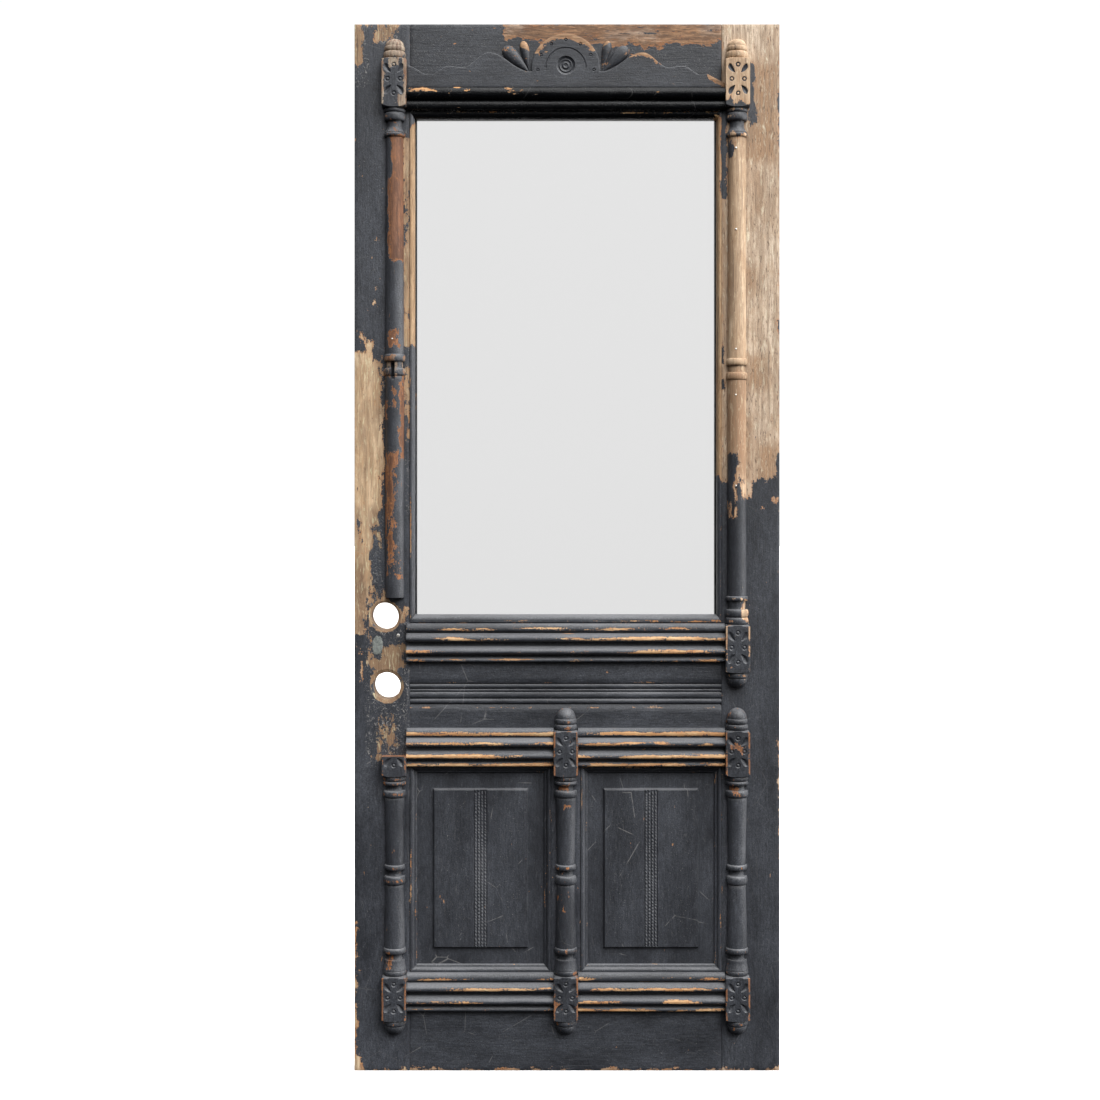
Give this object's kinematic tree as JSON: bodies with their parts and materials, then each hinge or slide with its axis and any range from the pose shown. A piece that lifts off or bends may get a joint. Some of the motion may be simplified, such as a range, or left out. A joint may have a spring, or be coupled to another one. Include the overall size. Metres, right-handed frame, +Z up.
{
  "type": "half-glass front door leaf",
  "caption": "Weathered half-glass front door leaf with a carved crest, split turnings, reeded mouldings and raised panels, bored for locks and gained for hinges.",
  "frame": {"origin": "on the floor of the middle hinge gain, in the right-hand edge as seen from the front, at mid-thickness and mid-height of the leaf", "axes": "+X out of the hinge edge, to the right as seen from the front; the front with its mouldings faces -Y; +Z up along the stiles"},
  "size_m": [0.845, 0.0693, 2.08],
  "materials": {
    "painted_wood": "weathered blue-black paint over softwood, worn to bare wood in places",
    "turned_wood": "weathered turned wood with the remains of blue-black paint",
    "clear_glass": "clear sheet glass"
  },
  "bodies": {
    "root": {"baluster_left": "turned_wood", "baluster_middle": "turned_wood", "baluster_right": "turned_wood", "base_moulding_left": "painted_wood", "base_moulding_right": "painted_wood", "belt_moulding_left": "painted_wood", "belt_moulding_right": "painted_wood", "bottom_rail": "painted_wood", "column_left": "turned_wood", "column_right": "turned_wood", "crest_board": "painted_wood", "glass_pane": "clear_glass", "glazing_bead_bottom": "painted_wood", "glazing_bead_left": "painted_wood", "glazing_bead_right": "painted_wood", "glazing_bead_top": "painted_wood", "glazing_stop_bottom": "painted_wood", "glazing_stop_left": "painted_wood", "glazing_stop_right": "painted_wood", "glazing_stop_top": "painted_wood", "head_moulding": "painted_wood", "hinge_stile": "painted_wood", "lock_rail": "painted_wood", "lock_stile": "painted_wood", "muntin": "painted_wood", "panel_left": "painted_wood", "panel_mould_left_bottom": "painted_wood", "panel_mould_left_left": "painted_wood", "panel_mould_left_right": "painted_wood", "panel_mould_left_top": "painted_wood", "panel_mould_right_bottom": "painted_wood", "panel_mould_right_left": "painted_wood", "panel_mould_right_right": "painted_wood", "panel_mould_right_top": "painted_wood", "panel_right": "painted_wood", "sill_moulding": "painted_wood", "top_rail": "painted_wood"}
  },
  "joints": []
}
